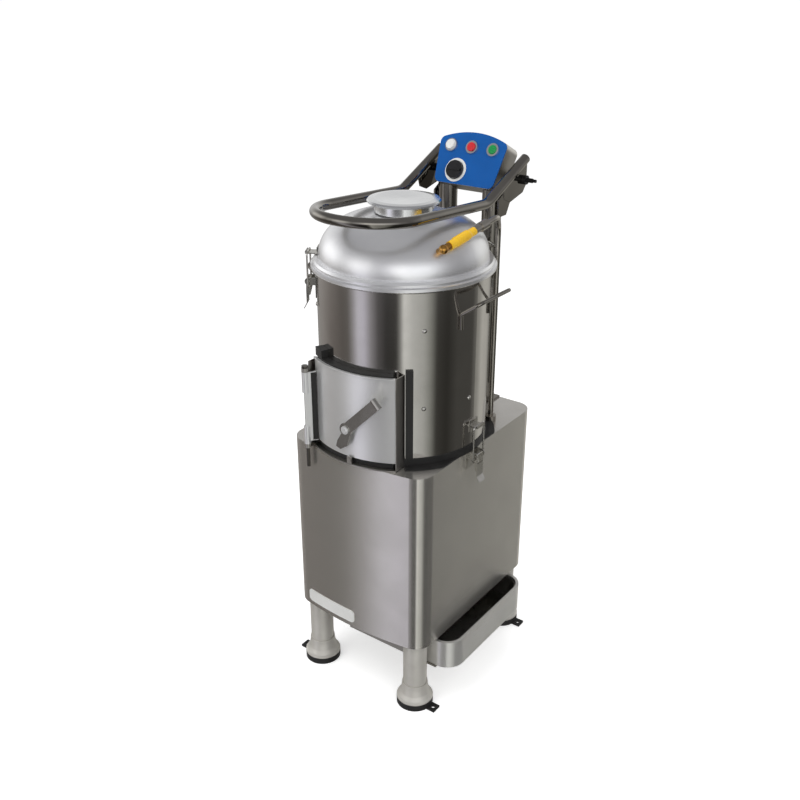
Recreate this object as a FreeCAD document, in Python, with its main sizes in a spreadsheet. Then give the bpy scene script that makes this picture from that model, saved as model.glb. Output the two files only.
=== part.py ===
import FreeCAD, Part
import Sketcher
import math
import os
import re

V = FreeCAD.Vector
UP = V(0, 0, 1)

# Driving dimensions in millimetres. The origin is the centre of the four floor fixing holes.
SIZES = {
    "leg_x": 140, "leg_y": 195, "leg_radius": 27.5, "leg_wall": 2,
    "pad_radius": 42.5, "pad_height": 16, "flare_top": 58, "lug_offset": 52, "lug_hole": 4.5,
    "cabinet_half": 181.5, "cabinet_front": 246, "cabinet_rear": 226, "corner_radius": 41,
    "rear_corner": 37, "cover_half": 141, "cover_low": 188, "cover_high": 601,
    "cabinet_bottom": 177, "cabinet_top": 612, "sheet_steel": 2,
    "drum_y": -49, "drum_radius": 185, "drum_wall": 2, "drum_bottom": 631, "drum_rim": 997.6,
    "window_left": 76, "window_right": 80, "window_low": 645, "window_high": 806,
    "flange_radius": 196, "dome_bottom": 998, "dome_shoulder": 1016, "dome_radius": 180,
    "dome_rise": 94, "neck_radius": 51, "neck_top": 1127.9,
    "cap_radius": 77, "cap_skirt": 62, "cap_seat": 1111, "cap_top": 1138,
    "door_radius": 205, "door_wall": 3, "door_left": 30, "door_right": 31.5, "door_low": 629,
    "door_high": 821, "gasket_top": 824, "gasket_left": 27, "strip_radius": 190,
    "hinge_x": -112, "hinge_y": -249, "hinge_pin": 4, "hinge_low": 612.6, "hinge_high": 800,
    "lever_pivot_x": 10.7, "lever_pivot_z": 697.5, "lever_length": 117, "lever_tilt": 44.6,
    "tube_radius": 11, "bail_half": 111, "bail_bend_y": 96, "bail_front_y": -268,
    "bail_bend_z": 1112, "bail_front_z": 1136, "bail_end_y": 251, "bail_end_z": 1183,
    "pivot_y": 243, "pivot_z": 1138, "pivot_radius": 5,
    "post_x": 58.7, "post_y": 203, "post_radius": 22, "bracket_x": 82.7, "bracket_wall": 4,
    "panel_y": 173, "panel_z": 1123, "panel_tilt": 25.8, "panel_depth": 50, "panel_low_half": 76,
    "panel_high_half": 87, "panel_side": 100, "panel_arch": 19, "panel_corner": 14,
    "button_row": 85, "button_pitch": 54, "timer_u": -27, "timer_v": 31, "bezel_radius": 16,
    "button_radius": 10.2,
    "motor_y": 128, "motor_radius": 62, "motor_low": 290, "motor_plate_z": 466,
    "belt_low": 482, "belt_width": 16, "big_pulley": 98, "small_pulley": 30,
    "shaft_radius": 12.5, "disc_z": 652, "disc_radius": 174,
    "tray_left": -66, "tray_right": 222, "tray_half": 164, "tray_low": 97, "tray_high": 167,
    "tray_corner": 45, "tray_wall": 1.5, "drain_x": 105, "drain_y": -132, "drain_radius": 25,
    "spigot_x": 20, "spigot_y": 90, "spigot_radius": 20, "inlet_x": -60, "inlet_z": 560,
    "latch_low_z": 606, "latch_high_z": 957, "latch_standoff": 18, "latch_throw": 12,
    "latch_low_reach": 72, "latch_high_reach": 65, "latch_width": 44, "wire_radius": 2, "wire_half": 20,
    "hub_x": 157.8, "hub_y": -136.4, "hub_z": 1075.3, "pipe_x": 139, "pipe_y": 100,
    "pipe_radius": 6, "running_gap": 0.05,
    "grip_radius": 4,
}

doc = FreeCAD.newDocument("PotatoPeeler")
sheet = doc.addObject("Spreadsheet::Sheet", "Sizes")
for row, (alias, number) in enumerate(SIZES.items(), start=1):
    sheet.set("A%d" % row, alias)
    sheet.set("B%d" % row, str(number))
    sheet.setAlias("B%d" % row, alias)
doc.recompute()

ALIASES = re.compile(r"\b(" + "|".join(SIZES) + r")\b")
NODES = {}


class Dimensions:
    """Reads each driving dimension from the sheet, as a plain number."""

    def __getattr__(self, alias):
        return float(sheet.get(alias))


at = Dimensions()


def linked(expression):
    return ALIASES.sub(r"Sizes.\1", str(expression))


def bind(item, **sizes):
    for name, expression in sizes.items():
        item.setExpression(name, linked(expression))
    return item


def place(item, x=0, y=0, z=0, rotation=None):
    """Put an object at a place given by expressions, after an optional fixed turn."""
    if rotation is not None:
        item.Placement = FreeCAD.Placement(V(0, 0, 0), rotation)
    for letter, expression in zip("xyz", (x, y, z)):
        item.setExpression("Placement.Base." + letter, linked(expression))
    return item


def turned(axis, angle):
    return FreeCAD.Rotation(V(*axis), angle)


ALONG_Y = turned((1, 0, 0), -90)


def keep(label, item):
    """Give a finished sub-part its own label, which names its file."""
    item.Label = label
    NODES[label] = item
    return item


def cylinder(radius, height, x=0, y=0, z=0, rotation=None):
    item = bind(doc.addObject("Part::Cylinder", "Cylinder"), Radius=radius, Height=height)
    return place(item, x, y, z, rotation)


def box(length, width, height, x=0, y=0, z=0, rotation=None):
    item = bind(doc.addObject("Part::Box", "Box"), Length=length, Width=width, Height=height)
    return place(item, x, y, z, rotation)


def cut(base, *tools):
    item = doc.addObject("Part::Cut", "Cut")
    item.Base = base
    item.Tool = tools[0] if len(tools) == 1 else fuse(*tools)
    return item


def fuse(*parts):
    item = doc.addObject("Part::MultiFuse", "Fuse")
    item.Shapes = list(parts)
    return item


def group(*parts):
    item = doc.addObject("Part::Compound", "Group")
    item.Links = list(parts)
    return item


def tube(outer, wall, height, x=0, y=0, z=0, rotation=None):
    inner = "(%s) - (%s)" % (outer, wall)
    return cut(cylinder(outer, height, x, y, z, rotation), cylinder(inner, height, x, y, z, rotation))


def shaped(shape):
    """A feature whose shape is worked out by the functions below from the sheet's sizes."""
    item = doc.addObject("Part::Feature", "Shaped")
    item.Shape = shape
    return item


def profile_sketch(body, plane, points):
    """Closed outline of straight edges, each corner held by two bound dimensions."""
    sketch = body.newObject("Sketcher::SketchObject", "Outline")
    origin = [f for f in body.Origin.OriginFeatures if f.Role == plane][0]
    sketch.AttachmentSupport = [(origin, "")]
    sketch.MapMode = "FlatFace"
    rough = [V(measure(a), measure(b), 0) for a, b in points]
    count = len(rough)
    for index in range(count):
        sketch.addGeometry(Part.LineSegment(rough[index], rough[(index + 1) % count]), False)
    for index in range(count):
        follower = (index + 1) % count
        sketch.addConstraint(Sketcher.Constraint("Coincident", index, 2, follower, 1))
    for index, (a, b) in enumerate(points):
        for kind, expression, number in (("DistanceX", a, rough[index].x), ("DistanceY", b, rough[index].y)):
            row = sketch.addConstraint(Sketcher.Constraint(kind, index, 1, number))
            sketch.renameConstraint(row, "%s%d" % (kind, index))
            sketch.setExpression("Constraints.%s%d" % (kind, index), linked(expression))
    return sketch


def measure(expression):
    """The present value of an expression, read back from a spare cell of the sheet."""
    sheet.set("D1", "=" + str(expression))
    sheet.recompute()
    return float(sheet.get("D1"))


def revolved(points, x=0, y=0, z=0, rotation=None):
    """A body turned from an outline of (radius, height) corners about its own Z axis."""
    body = doc.addObject("PartDesign::Body", "Turned")
    sketch = profile_sketch(body, "XZ_Plane", points)
    turn = body.newObject("PartDesign::Revolution", "Turn")
    turn.Profile = sketch
    turn.ReferenceAxis = (sketch, ["V_Axis"])
    turn.Angle = 360
    sketch.Visibility = False
    return place(body, x, y, z, rotation)


def rounded_path(points, radii):
    """Straight runs joined by tangent arcs at the inner corners."""
    edges = []
    start = points[0]
    for index in range(1, len(points) - 1):
        corner = points[index]
        back = (points[index - 1] - corner).normalize()
        ahead = (points[index + 1] - corner).normalize()
        half = back.getAngle(ahead) / 2
        reach = radii[index - 1] / math.tan(half)
        middle = (back + ahead).normalize() * (radii[index - 1] / math.sin(half) - radii[index - 1])
        first = corner + back * reach
        last = corner + ahead * reach
        edges.append(Part.LineSegment(start, first).toShape())
        edges.append(Part.Arc(first, corner + middle, last).toShape())
        start = last
    edges.append(Part.LineSegment(start, points[-1]).toShape())
    return Part.Wire(edges)


def rod(points, radii, radius):
    """A round rod swept along a rounded path."""
    path = rounded_path(points, radii)
    section = Part.Wire(Part.Circle(points[0], points[1] - points[0], radius).toShape())
    return path.makePipeShell([section], True, False)


def sector(inner, outer, low, high, from_angle, to_angle):
    """Ring sector about the drum's axis; angles in degrees from the front towards +X."""
    width = to_angle - from_angle
    ring = Part.makeCylinder(outer, high - low, V(0, 0, low), UP, width)
    ring = ring.cut(Part.makeCylinder(inner, high - low, V(0, 0, low)))
    ring.rotate(V(0, 0, 0), UP, from_angle - 90)
    ring.translate(V(0, at.drum_y, 0))
    return ring


def block(x0, x1, y0, y1, z0, z1):
    return Part.makeBox(x1 - x0, y1 - y0, z1 - z0, V(x0, y0, z0))


def prism(points, direction):
    return Part.Face(Part.makePolygon(points + points[:1])).extrude(direction)


def mirrored(shape):
    return shape.mirror(V(0, 0, 0), V(1, 0, 0))


def cabinet_prism(inset, low, high, rear, rear_radius=0):
    """Plan of the cabinet: bowed front, tangent corner arcs, straight sides, rounded rear corners."""
    half = at.cabinet_half - inset
    radius = at.corner_radius - inset
    front = -(at.cabinet_front - inset)
    centre_x = half - radius
    centre_y = front + radius + 12
    gap = front - centre_y
    bow = (centre_x ** 2 + gap ** 2 - radius ** 2) / (-2 * gap - 2 * radius)
    bow_y = front + bow
    pull = (V(centre_x, centre_y, 0) - V(0, bow_y, 0)).normalize()
    touch = V(0, bow_y, 0) + pull * bow
    bend = V(centre_x, centre_y, 0) + (pull + V(1, 0, 0)).normalize() * radius
    edges = [
        Part.LineSegment(V(half, rear, 0), V(half, centre_y, 0)).toShape(),
        Part.Arc(V(half, centre_y, 0), bend, touch).toShape(),
        Part.Arc(touch, V(0, front, 0), V(-touch.x, touch.y, 0)).toShape(),
        Part.Arc(V(-touch.x, touch.y, 0), V(-bend.x, bend.y, 0), V(-half, centre_y, 0)).toShape(),
        Part.LineSegment(V(-half, centre_y, 0), V(-half, rear, 0)).toShape(),
        Part.LineSegment(V(-half, rear, 0), V(half, rear, 0)).toShape(),
    ]
    solid = Part.Face(Part.Wire(edges)).extrude(V(0, 0, high - low))
    if rear_radius:
        solid = solid.makeFillet(rear_radius, [edge for edge in solid.Edges if upright_at(edge, rear)])
    solid.translate(V(0, 0, low))
    return solid


def upright_at(edge, y):
    """Whether an edge is vertical and stands at the given depth."""
    ends = [vertex.Point for vertex in edge.Vertexes]
    return len(ends) == 2 and abs(ends[0].z - ends[1].z) > 1 and all(abs(end.y - y) < 0.01 for end in ends)


def at_each_leg(make):
    return [make(x, y) for x in ("leg_x", "-leg_x") for y in ("-leg_y", "leg_y")]


def make_feet():
    keep("leg_tubes", group(*at_each_leg(lambda x, y: tube(
        "leg_radius", "leg_wall", "cabinet_bottom - pad_height - 4", x, y, "pad_height + 4"))))
    flare = [
        ("leg_radius + 0.2", "flare_top"), ("leg_radius + 2", "flare_top"), ("leg_radius + 3", 46),
        ("leg_radius + 6", 32), ("leg_radius + 11", 22), ("pad_radius", "pad_height + 3"),
        ("pad_radius", "pad_height"), ("leg_radius + 0.2", "pad_height"),
    ]
    keep("foot_flares", group(*at_each_leg(lambda x, y: revolved(flare, x, y))))

    def pad(x, y):
        side = -1 if x.startswith("-") else 1
        disc = cylinder("pad_radius", "pad_height", x, y)
        edge = "%s - 22" % x if side < 0 else x
        lug = box("lug_offset + 10 + 22 - 22", 24, 5, edge, "%s - 12" % y)
        if side < 0:
            place(lug, "%s - lug_offset - 10" % x, "%s - 12" % y)
        hole = cylinder("lug_hole", 9, "%s + %d * lug_offset" % (x, side), y, -2)
        return cut(fuse(disc, lug), hole)

    keep("foot_pads", group(*at_each_leg(pad)))


def make_cabinet():
    wall = at.sheet_steel
    rear = at.cabinet_rear
    outer = cabinet_prism(0, at.cabinet_bottom, at.cabinet_top, rear, at.rear_corner)
    inner = cabinet_prism(wall, at.cabinet_bottom - 5, at.cabinet_top - wall, rear - wall,
                          at.rear_corner - wall)
    margin = 11
    doorway = block(margin - at.cover_half, at.cover_half - margin, rear - 10, rear + 1,
                    at.cover_low + margin, at.cover_high - margin)
    openings = [doorway, Part.makeCylinder(34, 20, V(0, at.drum_y, at.cabinet_top - 10)),
                Part.makeCylinder(at.drain_radius + 0.2, 20, V(at.drain_x, at.drain_y, at.cabinet_top - 10))]
    keep("cabinet_shell", shaped(outer.cut(inner).cut(openings)))

    cover = block(-at.cover_half, at.cover_half, rear, rear + wall, at.cover_low, at.cover_high)
    slots = [block(-60, 60, rear - 5, rear + 9, z, z + 5) for z in range(300, 420, 15)]
    ports = [Part.makeCylinder(radius, 30, V(x, rear - 10, at.inlet_z), V(0, 1, 0))
             for x, radius in ((at.inlet_x, 13.3), (-at.inlet_x, 10.2))]
    keep("rear_cover", shaped(cover.cut(slots + ports)))

    front = cabinet_prism(-1.2, 188, 221, 0).cut(cabinet_prism(0, 180, 230, 5))
    outline = Part.makeBox(144, 80, 32, V(-140, -260, 188.5))
    corners = [edge for edge in outline.Edges if abs(edge.tangentAt(0).y) > 0.9]
    keep("badge_plate", shaped(front.common(outline.makeFillet(9, corners))))


def make_base():
    floor = cabinet_prism(3, at.cabinet_bottom, at.cabinet_bottom + 3, at.cabinet_rear - 3,
                          at.rear_corner - 3)
    floor = floor.cut(Part.makeCylinder(at.drain_radius + 1, 20, V(at.drain_x, at.drain_y, 170)))
    upright = block(148, 178, 70, 100, at.cabinet_bottom + 3, at.cabinet_top - at.sheet_steel)
    upright = upright.cut(block(151, 190, 73, 97, at.cabinet_bottom + 3, at.cabinet_top))
    bed = block(-148, 148, 58, 200, at.motor_plate_z, at.motor_plate_z + 4)
    bed = bed.cut(Part.makeCylinder(16, 20, V(0, at.motor_y, at.motor_plate_z - 5)))
    hangers = block(-75, 108, -at.tray_half - 3.2, -at.tray_half - 1.2, at.tray_low - 4, at.cabinet_bottom)
    lip = block(-75, 178, -at.tray_half - 3.2, -at.tray_half + 16, at.tray_low - 4, at.tray_low - 0.3)
    rail = hangers.fuse(lip)
    other = rail.mirror(V(0, 0, 0), V(0, 1, 0))
    stop = block(at.tray_left - 4, at.tray_left - 1, -at.tray_half, at.tray_half, 150, at.cabinet_bottom)
    keep("base_frame", shaped(floor.fuse([upright, mirrored(upright), bed, rail, other, stop])))


def make_drive():
    keep("motor", fuse(
        cylinder("motor_radius", "motor_plate_z - motor_low - 12", 0, "motor_y", "motor_low"),
        cylinder("motor_radius - 12", 12, 0, "motor_y", "motor_plate_z - 12"),
        cylinder("motor_radius - 14", 14, 0, "motor_y", "motor_low - 14"),
        box(56, 34, 70, -28, "motor_y + motor_radius - 8", "motor_low + 40")))
    keep("motor_pulley", fuse(
        cylinder(9, "belt_low + belt_width + 4 - motor_plate_z", 0, "motor_y", "motor_plate_z"),
        cylinder("small_pulley", "belt_width - 4", 0, "motor_y", "belt_low + 2"),
        cylinder("small_pulley + 4", 2, 0, "motor_y", "belt_low"),
        cylinder("small_pulley + 4", 2, 0, "motor_y", "belt_low + belt_width - 2")))
    keep("driven_pulley", cut(fuse(
        cylinder("big_pulley", "belt_width - 4", 0, "drum_y", "belt_low + 2"),
        cylinder("big_pulley + 4", 2, 0, "drum_y", "belt_low"),
        cylinder("big_pulley + 4", 2, 0, "drum_y", "belt_low + belt_width - 2")),
        cylinder("shaft_radius", "belt_width + 4", 0, "drum_y", "belt_low - 2")))

    span = at.motor_y - at.drum_y
    big = at.big_pulley + 0.3
    small = at.small_pulley + 0.3
    lean = math.asin((big - small) / span)
    outline = []
    for radius, grow in ((big, 0), (big, 5)):
        tip = small + grow
        wide = radius + grow
        side = V(math.cos(lean), math.sin(lean), 0)
        far = V(0, at.motor_y, 0)
        near = V(0, at.drum_y, 0)
        first = near + side * wide
        second = far + side * tip
        flip = V(-side.x, side.y, 0)
        edges = [
            Part.LineSegment(first, second).toShape(),
            Part.Arc(second, far + V(0, tip, 0), far + flip * tip).toShape(),
            Part.LineSegment(far + flip * tip, near + flip * wide).toShape(),
            Part.Arc(near + flip * wide, near - V(0, wide, 0), first).toShape(),
        ]
        outline.append(Part.Face(Part.Wire(edges)).extrude(V(0, 0, at.belt_width - 6)))
    belt = outline[1].cut(outline[0])
    belt.translate(V(0, 0, at.belt_low + 3))
    keep("drive_belt", shaped(belt))

    housing = [("34", 0), (70, 0), (70, -8), (44, -14), (44, -96), (26, -96), (26, -76), (30, -76),
               (30, -20), (34, -20)]
    keep("bearing_housing", revolved(housing, 0, "drum_y", "cabinet_top - sheet_steel"))
    keep("bearings", group(*[tube(26, "26 - shaft_radius - running_gap", 15, 0, "drum_y", z)
                             for z in ("cabinet_top - 90", "cabinet_top - 45")]))
    keep("shaft_seal", tube(29, "29 - shaft_radius - 0.3", 9, 0, "drum_y", "drum_bottom - 12"))
    keep("main_shaft", fuse(
        cylinder("shaft_radius", "disc_z - belt_low + 16", 0, "drum_y", "belt_low - 12"),
        cylinder("shaft_radius - 2.5", 12, 0, "drum_y", "disc_z + 4")))


def make_disc():
    """Carborundum disc with three raised waves that throw the potatoes outwards."""
    disc = Part.makeCylinder(at.disc_radius, 8, V(0, at.drum_y, at.disc_z + 4))
    hub = Part.makeCylinder(26, 12, V(0, at.drum_y, at.disc_z))
    cap = Part.makeCone(22, 12, 14, V(0, at.drum_y, at.disc_z + 12))
    waves = []
    for step in range(3):
        ridge = Part.makeCylinder(70, 124, V(0, 38, -59), V(0, 1, 0))
        ridge = ridge.common(block(-40, 40, 38, 162, 0, 12))
        ridge.rotate(V(0, 0, 0), UP, 120 * step)
        ridge.translate(V(0, at.drum_y, at.disc_z + 11))
        waves.append(ridge)
    body = disc.fuse([hub, cap] + waves)
    body = body.cut(Part.makeCylinder(at.shaft_radius - 2.5, 40, V(0, at.drum_y, at.disc_z - 4)))
    body = body.cut(Part.makeCylinder(at.shaft_radius, 8, V(0, at.drum_y, at.disc_z - 4)))
    keep("abrasive_disc", shaped(body))


def radial(angle, radius, z):
    """A point at an angle from the front towards +X, on a circle about the drum's axis."""
    turn = math.radians(angle)
    return V(radius * math.sin(turn), at.drum_y - radius * math.cos(turn), z)


def make_drum():
    window = block(-at.window_left, at.window_right, -260, at.drum_y - 120, at.window_low, at.window_high)
    centre = V(0, at.drum_y, 0)
    wall = Part.makeCylinder(at.drum_radius, at.drum_rim - at.drum_bottom, centre + UP * at.drum_bottom)
    wall = wall.cut(Part.makeCylinder(at.drum_radius - at.drum_wall, 400, centre + UP * (at.drum_bottom + 3)))
    bead = Part.makeTorus(at.drum_radius + 0.6, 2.6, centre + UP * (at.drum_rim - 2.6))
    bead = bead.cut(Part.makeCylinder(at.drum_radius - at.drum_wall, 400, centre + UP * 700))
    wall = wall.fuse(bead)
    wall = wall.cut([window, Part.makeCylinder(29.2, 20, centre + UP * 620),
                     Part.makeCylinder(at.drain_radius - 2, 20, V(at.drain_x, at.drain_y, 620))])
    keep("drum_wall", shaped(wall))

    liner = Part.makeCylinder(at.drum_radius - at.drum_wall - 0.1, 280, centre + UP * 690)
    liner = liner.cut(Part.makeCylinder(at.drum_radius - at.drum_wall - 4, 280, centre + UP * 690))
    keep("abrasive_liner", shaped(liner.cut(window)))

    studs = []
    spots = [(a, z) for z in (744, 914) for a in (49, 131, -49, -131)] + [(84, 744), (-84, 744)]
    for angle, z in spots:
        head = Part.makeSphere(5.5, radial(angle, at.drum_radius - 2.2, z))
        outer = Part.makeCylinder(at.drum_radius, 20, V(0, at.drum_y, z - 10))
        studs.append(head.cut(outer))
    rear = at.cabinet_rear + at.sheet_steel
    for x in (5.5 - at.cover_half, at.cover_half - 5.5):
        for z in (200, 330, 460, 589):
            head = Part.makeSphere(5.5, V(x, rear - 2.2, z))
            studs.append(head.common(block(x - 8, x + 8, rear, rear + 8, z - 8, z + 8)))
    keep("dome_head_screws", shaped(Part.makeCompound(studs)))

    top = at.cabinet_top
    ring = Part.makeCylinder(at.drum_radius + 1.5, at.drum_bottom - top, centre + UP * top)
    ring = ring.cut(Part.makeCylinder(at.drum_radius - 24.5, at.drum_bottom - top, centre + UP * top))
    flange = sector(at.drum_radius + 1, at.drum_radius + 21, top, top + 3, 37, 323)
    flange = flange.common(cabinet_prism(2, top, top + 3, at.cabinet_rear))
    ring = ring.fuse(flange).cut(Part.makeCylinder(13.3, 10, V(at.pipe_x, at.pipe_y, top - 1)))
    keep("plinth_ring", shaped(ring))
    keep("drain_pipe", tube("drain_radius", 2, "drum_bottom - 170", "drain_x", "drain_y", 170))

    for side, label in ((1, "carry_handle_right"), (-1, "carry_handle_left")):
        points = []
        reach = at.drum_radius + at.grip_radius + at.running_gap
        for y in (-53, 65):
            points.append((math.sqrt(reach ** 2 - y ** 2), y + at.drum_y))
        (x0, y0), (x1, y1) = points
        out = 224
        path = [(x0, y0, 906), (x0, y0, 938), (out, y0, 968), (out, y1, 968), (x1, y1, 938), (x1, y1, 906)]
        grip = rod([V(side * x, y, z) for x, y, z in path], [9, 11, 11, 9], at.grip_radius)
        keep(label, shaped(grip))


def make_chute():
    """Rubber surround, side cheeks and hinge ears of the unloading chute."""
    drum = Part.makeCylinder(at.drum_radius + 0.2, 400, V(0, at.drum_y, 600))
    plinth = Part.makeCylinder(at.drum_radius + 1.7, at.drum_bottom - 599.8, V(0, at.drum_y, 600))
    drum = drum.fuse(plinth)
    inner = at.drum_radius + 0.2
    outer = at.door_radius - at.door_wall - 0.4
    frame = sector(inner, outer, 616, at.gasket_top, -at.gasket_left, at.door_left)
    block_up = sector(inner, outer, at.gasket_top - 1, at.gasket_top + 18, -31, -22)
    hole = sector(at.drum_radius - 9, at.door_radius, 640, 812, -24.4, 26)
    strip = sector(inner, at.strip_radius, at.drum_bottom + 0.2, 832, 37.2, 42)
    keep("door_gasket", shaped(Part.makeCompound([frame.fuse(block_up).cut([hole, plinth]), strip])))
    right = block(109, 111, at.drum_y - 178, at.drum_y - 130, 614, 822).cut(drum)
    left = block(-111, -109, at.drum_y - 190, at.drum_y - 130, 612.6, 812).cut(drum)
    ledge = sector(inner, 212, 612.2, 615.6, -31, 31.5)
    hinge = V(at.hinge_x, at.hinge_y, 0)
    ears = []
    for low in (at.hinge_low, at.hinge_high - 9):
        arm = block(-113.5, -109, at.hinge_y, at.drum_y - 180, low, low + 9)
        ears.append(arm.fuse(Part.makeCylinder(7.5, 9, hinge + UP * low)))
    keeper = Part.makeCylinder(4.5, 5, V(12, -256.5, 624), V(0, -1, 0))
    keeper = keeper.fuse([block(6, 18, -260, -256.5, 612.4, 631), block(6, 18, -261, -240, 612.2, 615)])
    chute = right.fuse([ledge, left, keeper] + ears)
    bore = Part.makeCylinder(at.hinge_pin, 400, hinge + UP * 500)
    keep("chute_frame", shaped(chute.cut([bore, drum])))
    keep("hinge_pin", fuse(
        cylinder("hinge_pin", "hinge_high - hinge_low + 51", "hinge_x", "hinge_y", "hinge_low - 47"),
        cylinder("hinge_pin + 3", 4, "hinge_x", "hinge_y", "hinge_high + 1")))


def make_door():
    inner = at.door_radius - at.door_wall
    panel = sector(inner, at.door_radius, at.door_low, at.door_high, -at.door_left, at.door_right)
    rim = sector(inner, at.door_radius + 3, at.door_high - 3, at.door_high, -at.door_left, at.door_right)
    hinge = V(at.hinge_x, at.hinge_y, 0)
    ear = 9.3
    low = at.hinge_low + ear
    high = at.hinge_high - ear
    leaf = prism([V(-98, -229, at.door_low), V(-94, -233.4, at.door_low), hinge + V(2, -7, at.door_low),
                  hinge + V(6, 1, at.door_low)], V(0, 0, high - at.door_low))
    parts = [rim, leaf, Part.makeCylinder(7.5, 664 - low, hinge + UP * low),
             Part.makeCylinder(7.5, high - 744, hinge + UP * 744)]
    for radius, length, y in ((11, 9, -252), (5, 20, -254), (9, 2.5, -269.3)):
        parts.append(Part.makeCylinder(radius, length, V(at.lever_pivot_x, y, at.lever_pivot_z), V(0, -1, 0)))
    door = panel.fuse(parts)
    bore = Part.makeCylinder(at.hinge_pin + at.running_gap, 400, hinge + UP * 500)
    keep("door_panel", shaped(door.cut([Part.makeCylinder(inner, 400, V(0, at.drum_y, 600)), bore])))

    bar = block(0, at.lever_length, -3.6, -0.1, -12, 12)
    scroll = Part.makeCylinder(6.5, 24, V(at.lever_length, -6.6, -12), UP)
    hub = Part.makeCylinder(15, 7.4, V(0, 3.7, 0), V(0, -1, 0))
    lever = hub.fuse([bar, scroll])
    lever.rotate(V(0, 0, 0), V(0, -1, 0), at.lever_tilt)
    toe = prism([V(-10, 3.4, -8), V(10, 3.4, -12), V(2, 3.4, -38), V(-16, 3.4, -50), V(-28, 3.4, -46),
                 V(-24, 3.4, -32)], V(0, -5, 0))
    lever = lever.fuse(toe)
    lever = lever.cut(Part.makeCylinder(5 + at.running_gap, 30, V(0, 10, 0), V(0, -1, 0)))
    lever.translate(V(at.lever_pivot_x, -265.1, at.lever_pivot_z))
    keep("door_lever", shaped(lever))


def dome_profile(inset):
    """Outline of the dome from shoulder to neck, as radius and height pairs."""
    points = []
    for step in range(13):
        turn = math.radians(90 * step / 12)
        radius = (at.dome_radius - inset) * math.cos(turn) ** (2 / 3)
        height = (at.dome_rise - inset) * math.sin(turn) ** (2 / 2.2)
        points.append(V(radius, 0, at.dome_shoulder + height))
    return points[:-1]


def make_dome():
    wall = at.sheet_steel
    outer = dome_profile(0)
    inner = dome_profile(wall)
    neck_out = at.neck_radius
    neck_in = at.neck_radius - wall
    outer = [p for p in outer if p.x > neck_out + 8]
    inner = [p for p in inner if p.x > neck_in + 8]
    top = at.dome_shoulder + at.dome_rise
    curve_out = Part.BSplineCurve()
    curve_out.interpolate(outer + [V(neck_out, 0, top)])
    curve_in = Part.BSplineCurve()
    curve_in.interpolate(inner + [V(neck_in, 0, top - wall)])
    corners = [V(neck_out, 0, top), V(neck_out, 0, at.neck_top), V(neck_in, 0, at.neck_top),
               V(neck_in, 0, top - wall)]
    edges = [curve_out.toShape()]
    edges += [Part.LineSegment(a, b).toShape() for a, b in zip(corners, corners[1:])]
    edges.append(curve_in.toShape())
    inside = at.dome_radius - wall
    foot = [V(inside, 0, at.dome_shoulder), V(inside, 0, at.dome_bottom + wall),
            V(at.drum_radius - 4, 0, at.dome_bottom + wall), V(at.drum_radius - 4, 0, at.dome_bottom),
            V(at.flange_radius, 0, at.dome_bottom), V(at.flange_radius, 0, at.dome_bottom + 6),
            V(at.flange_radius - 5, 0, at.dome_bottom + 8), V(at.flange_radius - 5, 0, at.dome_bottom + 13),
            V(at.flange_radius - 8, 0, at.dome_shoulder), V(at.dome_radius, 0, at.dome_shoulder)]
    edges += [Part.LineSegment(a, b).toShape() for a, b in zip(foot, foot[1:])]
    face = Part.Face(Part.Wire(Part.__sortEdges__(edges)))
    dome = face.revolve(V(0, 0, 0), UP, 360)
    dome.translate(V(0, at.drum_y, 0))
    keep("dome_lid", shaped(dome))
    keep("lid_gasket", tube("drum_radius - drum_wall - 0.2", 5, 3, 0, "drum_y", "dome_bottom - 4"))

    profile = [(0, "cap_top - 1.5"), ("cap_radius - 16", "cap_top"), ("cap_radius - 3", "cap_top - 1"),
               ("cap_radius", "cap_top - 4"), ("cap_radius - 2", "cap_top - 8"),
               ("cap_skirt", "cap_top - 9"), ("cap_skirt", "cap_seat"), ("cap_skirt - 4", "cap_seat"),
               ("cap_skirt - 4", "cap_top - 10"), (0, "cap_top - 10")]
    keep("feed_cap", revolved(profile, 0, "drum_y"))


def dome_envelope():
    """The space the dome fills, as one solid, from its shoulder to under its neck."""
    rim = dome_profile(0)
    outline = [V(0, 0, at.dome_shoulder - 10), V(at.dome_radius, 0, at.dome_shoulder - 10)] + rim
    outline.append(V(0, 0, at.dome_shoulder + at.dome_rise))
    solid = Part.Face(Part.makePolygon(outline + outline[:1])).revolve(V(0, 0, 0), UP, 360)
    solid.translate(V(0, at.drum_y, 0))
    return solid


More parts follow.
